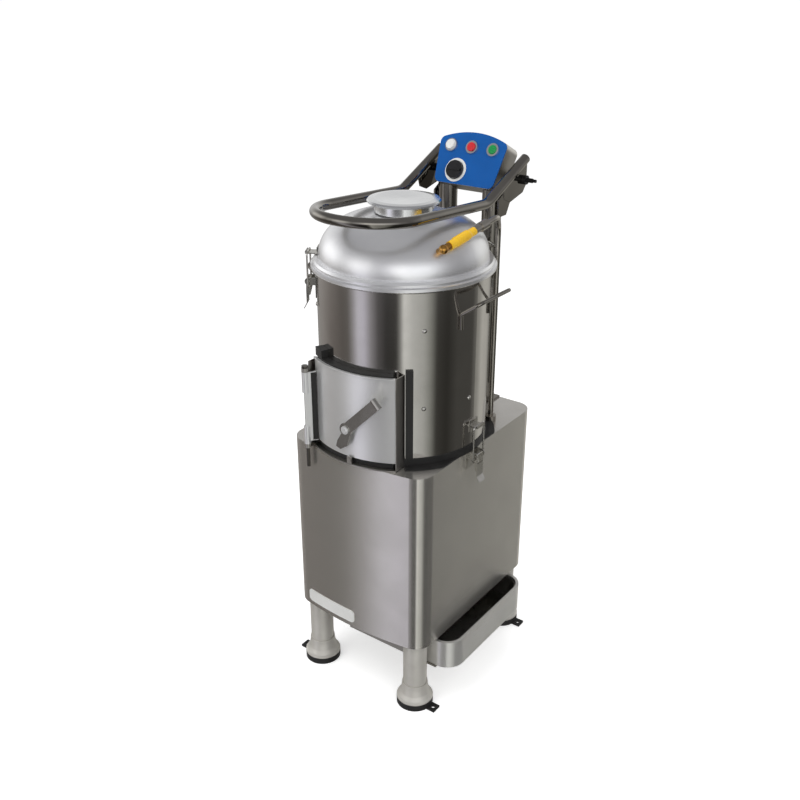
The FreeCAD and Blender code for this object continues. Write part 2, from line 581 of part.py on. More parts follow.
def make_water():
    start = radial(61, 150, 1060)
    hub = V(at.hub_x, at.hub_y, at.hub_z)
    along = V(0.078, 0.983, 0.17).normalize()
    stub = Part.makeCylinder(7, (hub - start).Length, start, hub - start)
    nipple = stub.fuse([Part.makeSphere(9.5, hub), Part.makeCylinder(7.5, 18, hub, along)])
    keep("water_nipple", shaped(nipple.cut([dome_envelope(), NODES["dome_lid"].Shape])))
    body = Part.makeCylinder(9, 14, hub + along * 18, along)
    body = body.fuse([Part.makeCone(9, 10.5, 6, hub + along * 32, along),
                      Part.makeCylinder(10.5, 38, hub + along * 38, along),
                      Part.makeCone(10.5, 8.5, 6, hub + along * 76, along),
                      Part.makeCylinder(8.5, 16, hub + along * 82, along)])
    keep("quick_coupling", shaped(body))
    first = hub + along * 98
    bend = first + along * 80
    path = [first, bend, V(at.pipe_x, at.pipe_y, 1068), V(at.pipe_x, at.pipe_y, at.cabinet_top + 14)]
    pipe = rod(path, [34, 34], at.pipe_radius)
    pipe = pipe.fuse([Part.makeCylinder(8, 20, first, along),
                      Part.makeCylinder(10, 22, first + along * 20, along),
                      Part.makeCylinder(13, 14, V(at.pipe_x, at.pipe_y, at.cabinet_top), UP)])
    keep("supply_pipe", shaped(pipe))
    valve = fuse(
        cylinder(12.9, 23, "inlet_x", "cabinet_rear - 18", "inlet_z", ALONG_Y),
        cylinder(13.2, 19, "inlet_x", "cabinet_rear + 3", "inlet_z", ALONG_Y),
        box(44, 40, 44, "inlet_x - 22", "cabinet_rear - 56", "inlet_z - 22"),
        cylinder(14, 34, "inlet_x", "cabinet_rear - 36", "inlet_z - 54"))
    keep("inlet_valve", valve)
    gland = fuse(
        cut(cylinder(14, 6, "-inlet_x", "cabinet_rear + sheet_steel", "inlet_z", ALONG_Y),
            cylinder(5, 6, "-inlet_x", "cabinet_rear + sheet_steel", "inlet_z", ALONG_Y)),
        cut(cylinder(10, 34, "-inlet_x", "cabinet_rear - 14", "inlet_z", ALONG_Y),
            cylinder(5, 34, "-inlet_x", "cabinet_rear - 14", "inlet_z", ALONG_Y)))
    keep("cable_gland", gland)


def panel_axes():
    tilt = math.radians(at.panel_tilt)
    return V(0, math.sin(tilt), math.cos(tilt)), V(0, -math.cos(tilt), math.sin(tilt))


def panel_point(u, v, w=0):
    """A point of the control face: u across, v up the slope, w out of the face."""
    rise, normal = panel_axes()
    return V(u, at.panel_y, at.panel_z) + rise * v + normal * w


def panel_prism(inset, back, front):
    """The face's outline, with an arched top and rounded corners, between two depths."""
    normal = panel_axes()[1]
    low = at.panel_low_half - inset
    high = at.panel_high_half - inset
    side = at.panel_side
    corners = [panel_point(-low, inset, back), panel_point(low, inset, back), panel_point(high, side, back)]
    crown = panel_point(0, side + at.panel_arch - inset, back)
    left = panel_point(-high, side, back)
    edges = [Part.LineSegment(a, b).toShape() for a, b in zip(corners, corners[1:])]
    edges += [Part.Arc(corners[2], crown, left).toShape(), Part.LineSegment(left, corners[0]).toShape()]
    solid = Part.Face(Part.Wire(edges)).extrude(normal * (front - back))
    uprights = [edge for edge in solid.Edges if edge.Length - abs(front - back) < 0.01
                and abs(edge.tangentAt(edge.FirstParameter).dot(normal)) > 0.99]
    return solid.makeFillet(at.panel_corner - inset, uprights)


def button_row():
    return [panel_point(step * at.button_pitch, at.button_row) for step in (-1, 0, 1)]


def make_panel():
    normal = panel_axes()[1]
    hollow = panel_prism(1.6, -at.panel_depth + 1.6, 1)
    shell = panel_prism(0, -at.panel_depth, -0.1).cut(hollow)
    solid_box = panel_prism(0, -at.panel_depth, 0)
    keep("panel_box", shaped(shell))
    timer = panel_point(at.timer_u, at.timer_v)
    holes = [Part.makeCylinder(11.2, 12, spot - normal * 6, normal) for spot in button_row()]
    holes.append(Part.makeCylinder(5, 12, timer - normal * 6, normal))
    keep("blue_fascia", shaped(panel_prism(0.4, -0.1, 2.4).cut(holes)))

    bezels = []
    for spot in button_row():
        ring = Part.makeCone(at.bezel_radius, at.bezel_radius - 1.5, 4, spot + normal * 2.4, normal)
        sleeve = Part.makeCylinder(11, 30, spot - normal * 24, normal)
        bore = Part.makeCylinder(at.button_radius + 0.1, 60, spot - normal * 22, normal)
        bezels.append(ring.fuse(sleeve).cut(bore))
    keep("button_bezels", shaped(Part.makeCompound(bezels)))
    for label, spot, crown in (("pilot_lamp", button_row()[0], 3.0), ("stop_button", button_row()[1], 2.5),
                               ("start_button", button_row()[2], 1.0)):
        stem = Part.makeCylinder(at.button_radius, 22 + crown, spot - normal * 16, normal)
        if label == "pilot_lamp":
            lens = Part.makeCone(12.5, 10, 5, spot + normal * 6.4, normal)
            stem = stem.fuse(lens)
        else:
            face = Part.makeCone(at.button_radius, at.button_radius - 1.2, 1.2, spot + normal * (6 + crown),
                                 normal)
            stem = stem.fuse(face)
        keep(label, shaped(stem))

    ring = Part.makeCylinder(26.5, 1.6, timer + normal * 2.4, normal)
    ring = ring.cut(Part.makeCylinder(6, 10, timer, normal))
    keep("timer_ring", shaped(ring))
    knob = Part.makeCone(21, 20, 7, timer + normal * 4.6, normal)
    grip = Part.makeBox(34, 5, 3, V(-17, -2.5, 0))
    grip.Placement = FreeCAD.Placement(timer + normal * 11.6, FreeCAD.Rotation(V(0, 0, 1), normal))
    shaft = Part.makeCylinder(3, 18, timer - normal * 12, normal)
    keep("timer_knob", shaped(knob.fuse([grip, shaft])))

    bodies = [Part.makeBox(24, 24, 12, V(-12, -12, 0)) for _ in range(3)]
    for body, spot in zip(bodies, button_row()):
        body.Placement = FreeCAD.Placement(spot - normal * 38, FreeCAD.Rotation(V(0, 0, 1), normal))
    clock = Part.makeBox(44, 44, 28, V(-22, -22, 0))
    clock.Placement = FreeCAD.Placement(timer - normal * 34, FreeCAD.Rotation(V(0, 0, 1), normal))
    clock = clock.cut(Part.makeCylinder(3.05, 60, timer - normal * 14, normal))
    clock = clock.common(panel_prism(2, -at.panel_depth + 2, 0))
    keep("contact_blocks", shaped(Part.makeCompound(bodies + [clock])))

    posts = []
    for side in (1, -1):
        column = Part.makeCylinder(at.post_radius, 540, V(side * at.post_x, at.post_y, at.cabinet_top))
        column = column.cut(Part.makeCylinder(at.post_radius - 2, 500, V(side * at.post_x, at.post_y, 616)))
        foot = block(at.post_x - 20.5, at.post_x + 30, at.post_y - 22, 225.5, at.cabinet_top,
                     at.cabinet_top + 4)
        foot = foot if side > 0 else mirrored(foot)
        column = column.cut([solid_box, block(-200, 200, 150, 300, 1118, 1300)])
        posts.append(column.fuse([foot, bail_bracket(side)]))
    keep("control_posts", shaped(Part.makeCompound(posts)))


def bail_bracket(side):
    """Arm that carries a pivot bolt, spaced off its post by a short web."""
    outline = [(186, 1060), (220, 1060), (256, 1122), (256, 1146), (237, 1150), (226, 1124), (186, 1100)]
    start = at.bracket_x
    arm = prism([V(start, y, z) for y, z in outline], V(at.bracket_wall, 0, 0))
    web = block(at.post_x + 18, start + 2, at.post_y - 6, at.post_y + 6, 1064, 1096)
    web = web.cut(Part.makeCylinder(at.post_radius - 1, 200, V(at.post_x, at.post_y, 1000)))
    hole = Part.makeCylinder(at.pivot_radius, 60, V(start - 20, at.pivot_y, at.pivot_z), V(1, 0, 0))
    bracket = arm.fuse(web).cut(hole)
    return bracket if side > 0 else mirrored(bracket)


def make_bail():
    half = at.bail_half
    path = [V(-half, at.bail_end_y, at.bail_end_z), V(-half, at.bail_bend_y, at.bail_bend_z),
            V(-half, at.bail_front_y, at.bail_front_z), V(half, at.bail_front_y, at.bail_front_z),
            V(half, at.bail_bend_y, at.bail_bend_z), V(half, at.bail_end_y, at.bail_end_z)]
    loop = rod(path, [60, half - 1, half - 1, 60], at.tube_radius)
    plate_points = [(158, 1134), (250, 1178), (257, 1172), (257, 1126), (243, 1110), (190, 1098), (166, 1108)]
    ears = []
    for side in (1, -1):
        ear = prism([V(side * half - 2, y, z) for y, z in plate_points], V(4, 0, 0))
        hole = Part.makeCylinder(at.pivot_radius + at.running_gap, 40,
                                 V(side * half - 20, at.pivot_y, at.pivot_z), V(1, 0, 0))
        ears.append(ear.cut(hole))
    tongue = Part.makeCylinder(34, 3, V(0, 0, 0), V(0, -0.6, 0.8))
    tongue.translate(V(4, at.bail_front_y + 4, at.bail_front_z - 4))
    tongue = tongue.common(block(-60, 60, at.bail_front_y, 0, 0, at.bail_front_z - 3))
    keep("safety_bail", shaped(loop.fuse(ears + [tongue])))

    bolts = []
    inner = at.bracket_x
    outer = inner + at.bracket_wall
    for side in (1, -1):
        direction = V(side, 0, 0)
        parts = []
        for start, length, radius in ((inner - 6, 60, at.pivot_radius), (inner - 6, 5.8, 6.2),
                                      (outer + 0.1, half - 2.6 - outer, 9), (half + 2.5, 9, 10),
                                      (half + 8, 26, 3.5)):
            spot = V(side * start, at.pivot_y, at.pivot_z)
            parts.append(Part.makeCylinder(radius, length, spot, direction))
        bolts.append(parts[0].fuse(parts[1:]))
    keep("pivot_bolts", shaped(Part.makeCompound(bolts)))


def make_tray():
    """Peel drawer: a pan with rounded outer corners, and its perforated strainer basket."""
    def pan(inset, low, high):
        left = at.tray_left + inset
        right = at.tray_right - inset
        half = at.tray_half - inset
        solid = block(left, right, -half, half, low, high)
        big = [e for e in solid.Edges if e.Vertexes[0].Z != e.Vertexes[1].Z and e.Vertexes[0].X > 0]
        solid = solid.makeFillet(at.tray_corner - inset, big)
        small = [e for e in solid.Edges if len(e.Vertexes) == 2 and abs(e.Vertexes[0].X - left) < 0.01
                 and abs(e.Vertexes[1].X - left) < 0.01 and abs(e.Vertexes[0].Z - e.Vertexes[1].Z) > 1]
        return solid.makeFillet(12 - min(inset, 6), small)

    wall = at.tray_wall
    body = pan(0, at.tray_low, at.tray_high).cut(pan(wall, at.tray_low + wall, at.tray_high + 10))
    rim = pan(0, at.tray_high - 2, at.tray_high).cut(pan(7, at.tray_high - 5, at.tray_high + 5))
    spigot = Part.makeCylinder(at.spigot_radius, 34, V(at.spigot_x, at.spigot_y, at.tray_low - 32))
    bore = Part.makeCylinder(at.spigot_radius - 2, 60, V(at.spigot_x, at.spigot_y, at.tray_low - 40))
    keep("peel_drawer", shaped(body.fuse([rim, spigot]).cut(bore)))
    basket = pan(9, at.tray_low + 8, at.tray_high - 6).cut(pan(10.5, at.tray_low + 9.5, at.tray_high))
    holes = []
    for row in range(9):
        for column in range(8):
            holes.append(Part.makeCylinder(3, 10, V(-30 + 28 * column, -120 + 30 * row, at.tray_low + 4)))
    feet = [block(x, x + 10, y, y + 10, at.tray_low + wall, at.tray_low + 8.5)
            for x in (-45, 165) for y in (-130, 120)]
    keep("strainer_basket", shaped(basket.cut(holes).fuse(feet)))


def latch_base(plate_top):
    """Fixed part of a toggle latch: X out of the wall, Y along it, Z up; the pivot is at Z zero."""
    off = at.latch_standoff
    half = at.latch_width / 2
    across = V(0, 1, 0)
    parts = [Part.makeCylinder(2.5, 33, V(off, -16.5, 0), across)]
    for y in (-15, 13):
        parts += [block(1, off, y, y + 2, -8, 8), Part.makeCylinder(8, 2, V(off, y, 0), across)]
    return block(0, 2, -half, half, -34, plate_top).fuse(parts)


def latch_lever():
    """Folded lever of a toggle latch, with a turned-out lip at its lower end."""
    off = at.latch_standoff
    across = V(0, 1, 0)
    cheek = [(-4, 5), (5, 5), (6, -20), (6, -38), (1, -38), (-5, -14)]
    sides = [prism([V(off + x, y, z) for x, z in cheek], across * 2) for y in (-12, 10)]
    web = block(off + 4, off + 6, -12, 12, -50, -18)
    lip = prism([V(off + x, -12, z) for x, z in ((4, -49), (6, -49), (13, -62), (11, -62))], across * 24)
    start = V(off, -30, 0)
    bores = [Part.makeCylinder(2.5 + at.running_gap, 60, start, across),
             Part.makeCylinder(at.wire_radius + at.running_gap, 60, start - UP * at.latch_throw, across)]
    return web.fuse(sides + [lip]).cut(bores)


def latch_loop(reach):
    """Wire loop of a toggle latch, from its bearings in the lever to its cross bar."""
    low = V(at.latch_standoff, 0, -at.latch_throw)
    high = V(at.latch_standoff, 0, reach)
    side = V(0, at.wire_half, 0)
    end = V(0, 9, 0)
    return rod([low - end, low - side, high - side, high + side, low + side, low + end], [4, 6, 6, 4],
               at.wire_radius)


def latch_hook(reach, wall_gap, foot):
    """Catch for the wire loop: a shelf under the cross bar, with an upturned lip."""
    off = at.latch_standoff
    seat = reach - at.wire_radius - 0.2
    shelf = block(wall_gap, off + 5, -14, 14, seat - 2.4, seat)
    lip = block(off + 3.2, off + 5, -14, 14, seat - 2.4, seat + 3.6)
    back = block(wall_gap, wall_gap + 2, -14, 14, seat - foot, seat + 12)
    return shelf.fuse([lip, back])


def latch_places():
    """Name, angle from the front, wall radius, pivot height, reach, plate top, gap and foot of the hook."""
    low = at.cabinet_half
    high = at.drum_radius
    plate_top = at.cabinet_top - 0.1 - at.latch_low_z
    side = (low, at.latch_low_z, at.latch_low_reach, plate_top, high - low - 0.3, 16)
    lid = (high - 0.3, at.latch_high_z, at.latch_high_reach, 14, -4.0, 3.7)
    return [("drum_latch_right", 90) + side, ("drum_latch_left", -90) + side,
            ("lid_latch_front", -59) + lid, ("lid_latch_rear", 146) + lid]


def make_latches():
    bases = []
    hooks = []
    drum = Part.makeCylinder(at.drum_radius + 0.02, 386, V(0, at.drum_y, at.cabinet_top + 20))
    rim = Part.makeCylinder(at.drum_radius + 3.4, 8, V(0, at.drum_y, at.drum_rim - 8))
    plinth = Part.makeCylinder(at.drum_radius + 1.7, 25, V(0, at.drum_y, at.cabinet_top - 0.05))
    for name, angle, radius, height, reach, plate_top, gap, foot in latch_places():
        spot = FreeCAD.Placement(radial(angle, radius, height), turned((0, 0, 1), angle - 90)).toMatrix()
        for kind, piece in (("lever", latch_lever()), ("loop", latch_loop(reach))):
            piece.transformShape(spot)
            keep("%s_%s" % (name, kind), shaped(piece))
        for piece, found in ((latch_base(plate_top), bases), (latch_hook(reach, gap, foot), hooks)):
            piece.transformShape(spot)
            found.append(piece.cut([drum, rim, plinth]))
    keep("latch_bases", shaped(Part.makeCompound(bases)))
    keep("latch_hooks", shaped(Part.makeCompound(hooks)))


make_feet()
make_cabinet()
make_base()
make_drive()
make_disc()
make_drum()
make_chute()
make_door()
make_dome()
make_water()
make_panel()
make_bail()
make_tray()
make_latches()
doc.recompute()

faults = []
for item in doc.Objects:
    if "Invalid" in item.State or "Error" in item.State:
        faults.append("%s: %s" % (item.Label, item.State))
for label, item in NODES.items():
    if item.Shape.isNull() or not item.Shape.isValid() or not item.Shape.Solids:
        faults.append("%s has no valid solid" % label)
if faults:
    raise RuntimeError("; ".join(faults))

os.makedirs("parts", exist_ok=True)
for label, item in NODES.items():
    item.Shape.exportStep("parts/%s.step" % label)
    print("%-22s solids %2d  volume %9.1f cm3" % (label, len(item.Shape.Solids), item.Shape.Volume / 1000))
print(len(NODES), "nodes")
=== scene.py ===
"""Looks of a floor-standing electric potato peeler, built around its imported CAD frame."""

import math

import bpy
import numpy as np
from bpy.props import FloatProperty, FloatVectorProperty, PointerProperty
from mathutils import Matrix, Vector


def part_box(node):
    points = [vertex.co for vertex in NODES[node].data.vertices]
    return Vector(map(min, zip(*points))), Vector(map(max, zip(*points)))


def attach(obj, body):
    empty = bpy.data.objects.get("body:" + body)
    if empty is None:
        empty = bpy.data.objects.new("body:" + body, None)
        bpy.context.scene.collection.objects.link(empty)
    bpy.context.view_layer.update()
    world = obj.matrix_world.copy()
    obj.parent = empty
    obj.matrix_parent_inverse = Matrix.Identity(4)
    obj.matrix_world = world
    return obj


bl_info = {
    "name": "Potato peeler",
    "version": (1, 0, 0),
    "blender": (4, 5, 0),
    "location": "View3D > Sidebar > Peeler",
    "description": "Finishes, trim and studio for a catering potato peeler",
    "category": "Object",
}

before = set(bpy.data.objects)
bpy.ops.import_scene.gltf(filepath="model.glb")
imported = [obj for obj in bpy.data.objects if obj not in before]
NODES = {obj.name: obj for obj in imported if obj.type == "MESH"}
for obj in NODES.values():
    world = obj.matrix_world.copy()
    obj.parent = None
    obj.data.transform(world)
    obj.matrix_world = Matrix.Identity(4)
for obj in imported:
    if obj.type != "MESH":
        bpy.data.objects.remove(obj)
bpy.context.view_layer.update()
# Depth of the drum's upright axis.
DRUM_Y = sum(corner.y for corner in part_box("dome_lid")) / 2
LATCHES = ("drum_latch_right", "drum_latch_left", "lid_latch_front", "lid_latch_rear")

# A metre in millimetres: a pattern of a given size in millimetres has METRE / size cells in a metre.
METRE = 1000.0
# Noise stays mostly between these two values, which are taken as its full range.
NOISE_LOW = 0.3
NOISE_HIGH = 0.7
# Places of the colour sockets on a Mix node, which has others of the same names for numbers and vectors.
MIX_SHARE = 0
MIX_FIRST = 6
MIX_SECOND = 7
MIX_RESULT = 2


# Colour and nodes

def linear(colour):
    """A linear colour with alpha 1, from an sRGB hex code such as '#9C9791' or three linear values."""
    if not isinstance(colour, str):
        return (*colour, 1.0)
    parts = np.array([int(colour[i:i + 2], 16) / 255 for i in (1, 3, 5)])
    parts = np.where(parts <= 0.04045, parts / 12.92, ((parts + 0.055) / 1.055) ** 2.4)
    return (*map(float, parts), 1.0)


def plug(tree, node, values=None, wires=None):
    """Give a node's sockets their values and their incoming links."""
    for socket, value in (values or {}).items():
        node.inputs[socket].default_value = value
    for socket, source in (wires or {}).items():
        tree.links.new(source, node.inputs[socket])


def add(tree, kind, values=None, wires=None, **settings):
    """Add one node with its settings, its sockets' values and its incoming links."""
    node = tree.nodes.new(kind)
    for name, value in settings.items():
        setattr(node, name, value)
    plug(tree, node, values, wires)
    return node


def fresh(name):
    """A new material with its tree, its Principled shader and the Object coordinates for its patterns."""
    material = bpy.data.materials.new(name)
    material.use_nodes = True
    tree = material.node_tree
    tree.nodes.clear()
    shader = add(tree, "ShaderNodeBsdfPrincipled")
    add(tree, "ShaderNodeOutputMaterial", wires={"Surface": shader.outputs[0]})
    place = add(tree, "ShaderNodeTexCoord").outputs["Object"]
    return material, tree, shader, place


def mottle(tree, shader, place, colours, patch, detail, lumps=0.5, blur=None, grain=None):
    """Patches of wear and handling: noise between two colours and, with blur, two values of roughness.

    patch is a patch's real width in millimetres, and lumps is how strongly finer noise shows in it. A grain,
    where there is one, has half the say in the roughness.
    """
    patches = add(tree, "ShaderNodeTexNoise", {"Scale": METRE / patch, "Detail": detail, "Roughness": lumps},
                  {"Vector": place}).outputs["Fac"]
    share = add(tree, "ShaderNodeMapRange", {"From Min": NOISE_LOW, "From Max": NOISE_HIGH},
                {"Value": patches}).outputs["Result"]
    first, second = colours
    colour = add(tree, "ShaderNodeMix", {MIX_FIRST: linear(first), MIX_SECOND: linear(second)},
                 {MIX_SHARE: share}, data_type="RGBA").outputs[MIX_RESULT]
    plug(tree, shader, wires={"Base Color": colour})
    if blur is None:
        return
    worn = patches
    if grain is not None:
        total = add(tree, "ShaderNodeMath", wires={0: grain, 1: patches}, operation="ADD").outputs[0]
        worn = add(tree, "ShaderNodeMath", {1: 0.5}, {0: total}, operation="MULTIPLY").outputs[0]
    low, high = blur
    span = {"From Min": NOISE_LOW, "From Max": NOISE_HIGH, "To Min": low, "To Max": high}
    rough = add(tree, "ShaderNodeMapRange", span, {"Value": worn}).outputs["Result"]
    plug(tree, shader, wires={"Roughness": rough})


# Finishes

def grained_steel(name, clean, soiled, rough, grain=(200, 200, 1.205), turned=False, stretch=0.55, metal=1.0):
    """Stainless sheet with abrasive-belt grain: fine parallel scratches that blur reflections across them.

    grain is a scratch's size along x, y and z in millimetres. Real scratches lie 0.1 mm apart; they are drawn
    1.2 mm apart so that they show. stretch is how far they draw a highlight out, and turned lays them round
    the upright axis, as on rolled sheet. A metal under 1 gives the dull lustre of sheet that scatters light.
    """
    material, tree, shader, place = fresh(name)
    stretched = add(tree, "ShaderNodeMapping", {"Scale": [METRE / size for size in grain]}, {"Vector": place})
    scratches = add(tree, "ShaderNodeTexNoise", {"Scale": 1.0, "Detail": 3.0, "Roughness": 0.6},
                    {"Vector": stretched.outputs[0]}).outputs["Fac"]
    mottle(tree, shader, place, (clean, soiled), patch=111, detail=4.0, lumps=0.55,
           blur=(rough - 0.05, rough + 0.07), grain=scratches)
    relief = add(tree, "ShaderNodeBump", {"Strength": 0.14, "Distance": 0.006 / METRE}, {"Height": scratches})
    plug(tree, shader, {"Metallic": metal, "Anisotropic": stretch, "Anisotropic Rotation": 0.25},
         {"Normal": relief.outputs[0]})
    if turned:
        tangent = add(tree, "ShaderNodeTangent", direction_type="RADIAL", axis="Z")
        plug(tree, shader, wires={"Tangent": tangent.outputs[0]})
    return material


def bright_metal(name, clean, soiled, rough, haze=0.04, patch=71.4):
    """Polished metal: sharp reflections with a faint haze of handling marks, 70 mm across on large parts."""
    material, tree, shader, place = fresh(name)
    mottle(tree, shader, place, (clean, soiled), patch, detail=5.0, lumps=0.6, blur=(rough, rough + haze))
    plug(tree, shader, {"Metallic": 1.0})
    return material


def spun_aluminium(name, clean, soiled, rough):
    """Spun aluminium: rings left by the spinning tool, which draw each highlight out round the dome.

    The rings are noise along the profile, taken as the radius from the drum's axis less the height. Their
    real pitch is 0.3 mm; they are drawn 1.4 mm apart so that they show.
    """
    pitch = 1.4
    material, tree, shader, place = fresh(name)
    plan = add(tree, "ShaderNodeMapping", {"Location": (0, -DRUM_Y, 0), "Scale": (1, 1, 0)},
               {"Vector": place}).outputs[0]
    radius = add(tree, "ShaderNodeVectorMath", wires={0: plan}, operation="LENGTH").outputs["Value"]
    height = add(tree, "ShaderNodeSeparateXYZ", wires={0: place}).outputs["Z"]
    along = add(tree, "ShaderNodeMath", wires={0: radius, 1: height}, operation="SUBTRACT").outputs[0]
    count = add(tree, "ShaderNodeMath", {1: METRE / pitch}, {0: along}, operation="MULTIPLY").outputs[0]
    rings = add(tree, "ShaderNodeTexNoise", {"Scale": 1.0, "Detail": 2.0, "Roughness": 0.6}, {"W": count},
                noise_dimensions="1D").outputs["Fac"]
    mottle(tree, shader, place, (clean, soiled), patch=90.9, detail=4.0, blur=(rough - 0.03, rough + 0.05))
    relief = add(tree, "ShaderNodeBump", {"Strength": 0.25, "Distance": 0.03 / METRE}, {"Height": rings})
    tangent = add(tree, "ShaderNodeTangent", direction_type="RADIAL", axis="Z")
    plug(tree, shader, {"Metallic": 0.85, "Anisotropic": 0.45, "Anisotropic Rotation": 0.25},
         {"Normal": relief.outputs[0], "Tangent": tangent.outputs[0]})
    return material


def moulded(name, clean, worn, rough, depth=0.03, sheen=0.0):
    """Moulded rubber or plastic: a fine spark-eroded texture, depth millimetres deep, that softens its gloss.

    The real texture is 0.2 mm across; it is drawn 3.6 mm across, with finer noise in it, so that it shows.
    """
    material, tree, shader, place = fresh(name)
    pits = add(tree, "ShaderNodeTexNoise", {"Scale": METRE / 3.6, "Detail": 2.0},
               {"Vector": place}).outputs["Fac"]
    mottle(tree, shader, place, (clean, worn), patch=33.3, detail=4.0, lumps=0.6,
           blur=(rough - 0.04, rough + 0.08))
    relief = add(tree, "ShaderNodeBump", {"Strength": 0.3, "Distance": depth / METRE}, {"Height": pits})
    plug(tree, shader, {"Sheen Weight": sheen}, {"Normal": relief.outputs[0]})
    return material


def enamelled(name, clean, shade, rough, coat, specular=0.5):
    """Stove enamel under a clear coat: slight orange peel, 2.4 mm from wave to wave, ripples its gloss."""
    material, tree, shader, place = fresh(name)
    peel = add(tree, "ShaderNodeTexNoise", {"Scale": METRE / 2.38, "Detail": 1.0},
               {"Vector": place}).outputs["Fac"]
    mottle(tree, shader, place, (clean, shade), patch=62.5, detail=3.0, blur=(rough - 0.03, rough + 0.05))
    relief = add(tree, "ShaderNodeBump", {"Strength": 0.12, "Distance": 0.02 / METRE}, {"Height": peel})
    plug(tree, shader, {"Coat Weight": coat, "Coat Roughness": 0.12, "Specular IOR Level": specular},
         {"Normal": relief.outputs[0]})
    return material


def gritted(name, dark, light):
    """Carborundum grit in resin: sharp crystals, really 1.5 mm across and drawn at 2.2 mm, on a dark bed."""
    material, tree, shader, place = fresh(name)
    crystals = add(tree, "ShaderNodeTexVoronoi", {"Scale": METRE / 2.2}, {"Vector": place}, feature="F1")
    distance = crystals.outputs["Distance"]
    colour = add(tree, "ShaderNodeMix", {MIX_FIRST: linear(light), MIX_SECOND: linear(dark)},
                 {MIX_SHARE: distance}, data_type="RGBA").outputs[MIX_RESULT]
    relief = add(tree, "ShaderNodeBump", {"Strength": 0.9, "Distance": 0.8 / METRE}, {"Height": distance})
    plug(tree, shader, {"Roughness": 0.7}, {"Base Color": colour, "Normal": relief.outputs[0]})
    return material


def cast(name, dark, light, rough):
    """Sand-cast iron: a pebbled skin, in grains 1.4 mm across, breaks up its dull shine."""
    material, tree, shader, place = fresh(name)
    grain = add(tree, "ShaderNodeTexNoise", {"Scale": METRE / 1.43, "Detail": 3.0, "Roughness": 0.7},
                {"Vector": place}).outputs["Fac"]
    mottle(tree, shader, place, (dark, light), patch=41.7, detail=3.0, blur=(rough - 0.05, rough + 0.1))
    relief = add(tree, "ShaderNodeBump", {"Strength": 0.5, "Distance": 0.15 / METRE}, {"Height": grain})
    plug(tree, shader, {"Metallic": 0.8}, {"Normal": relief.outputs[0]})
    return material


def powder(name, clean, shade, rough):
    """Powder coat, grey polyester with aluminium flake: a slight pebble 1.5 mm across dulls its shine."""
    material, tree, shader, place = fresh(name)
    pebble = add(tree, "ShaderNodeTexNoise", {"Scale": METRE / 1.54, "Detail": 1.0},
                 {"Vector": place}).outputs["Fac"]
    mottle(tree, shader, place, (clean, shade), patch=50, detail=3.0, blur=(rough - 0.04, rough + 0.06))
    relief = add(tree, "ShaderNodeBump", {"Strength": 0.15, "Distance": 0.02 / METRE}, {"Height": pebble})
    plug(tree, shader, {"Metallic": 0.35}, {"Normal": relief.outputs[0]})
    return material


def lens(name, clean, shade):
    """Moulded polycarbonate over a lamp: cloudy, with light passing 4 mm in under a glossy skin."""
    depth = 4.0 / METRE
    material, tree, shader, place = fresh(name)
    mottle(tree, shader, place, (clean, shade), patch=16.7, detail=3.0)
    plug(tree, shader, {"Roughness": 0.22, "Coat Weight": 0.3, "Subsurface Weight": 0.25,
                        "Subsurface Radius": (depth, depth, depth)})
    return material


def paint(material, *names):
    """Give a finish to CAD nodes or new pieces, by name."""
    for name in names:
        item = NODES.get(name) or bpy.data.objects[name]
        item.data.materials.clear()
        item.data.materials.append(material)


# New pieces

def upright_bar(name, plan, low, high, body):
    """A closed bar that rides on a body: an outline in plan, an array of corners, drawn up from low to high.

    Each corner at one end makes a quad with the next corner and with the two at the other end; the outline,
    turned round at the bottom so that it faces outwards, closes both ends.
    """
    corners = len(plan)
    points = np.concatenate([np.column_stack([plan, np.full(corners, height)]) for height in (low, high)])
    start = np.arange(corners)
    after = np.roll(start, -1)
    sides = np.column_stack([start, after, after + corners, start + corners]).tolist()
    mesh = bpy.data.meshes.new(name)
    mesh.from_pydata(points.tolist(), [], [*sides, start[::-1].tolist(), (start + corners).tolist()])
    mesh.update()
    item = bpy.data.objects.new(name, mesh)
    bpy.context.scene.collection.objects.link(item)
    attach(item, body)


def hinge_shade_strip():
    """Black strip of painted shade along the door's hinge leaf, standing for the dark gap between leaf and
    door: an upright bar on a rectangle in plan.

    The rectangle starts at the leaf's inner edge, which is placed from the hinge pin. Its width runs along
    the leaf, and its thickness stands out from it at a right angle.
    """
    width = 0.012
    thickness = 0.0008
    height = 0.158
    below_rim = 0.032
    pin = [(low + high) / 2 for low, high in zip(*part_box("hinge_pin"))][:2]
    edge = np.array(pin) + (0.018, 0.0155)
    along = np.array([-0.578, -0.816])
    out = np.array([-along[1], along[0]])
    far = edge + along * width
    plan = np.array([edge, far, far + out * thickness, edge + out * thickness])
    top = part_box("door_panel")[1].z - below_rim
    upright_bar("hinge_shade_strip", plan, top - height, top, "door")


# Settings for the user

class PeelerFinishes(bpy.types.PropertyGroup):
    """Colours and roughness of the main surfaces."""
    cabinet_roughness: FloatProperty(name="Cabinet roughness", description="Blur of the brushed cabinet",
                                     default=0.2, min=0.05, max=0.9, subtype="FACTOR")
    drum_roughness: FloatProperty(name="Drum roughness", description="Blur of the polished drum",
                                  default=0.1, min=0.02, max=0.9, subtype="FACTOR")
    dome_roughness: FloatProperty(name="Dome roughness", description="Blur of the spun dome",
                                  default=0.3, min=0.05, max=0.9, subtype="FACTOR")
    fascia_colour: FloatVectorProperty(name="Fascia colour", description="Enamel of the control fascia",
                                       default=linear("#0A5AA9")[:3], size=3, subtype="COLOR", min=0, max=1)


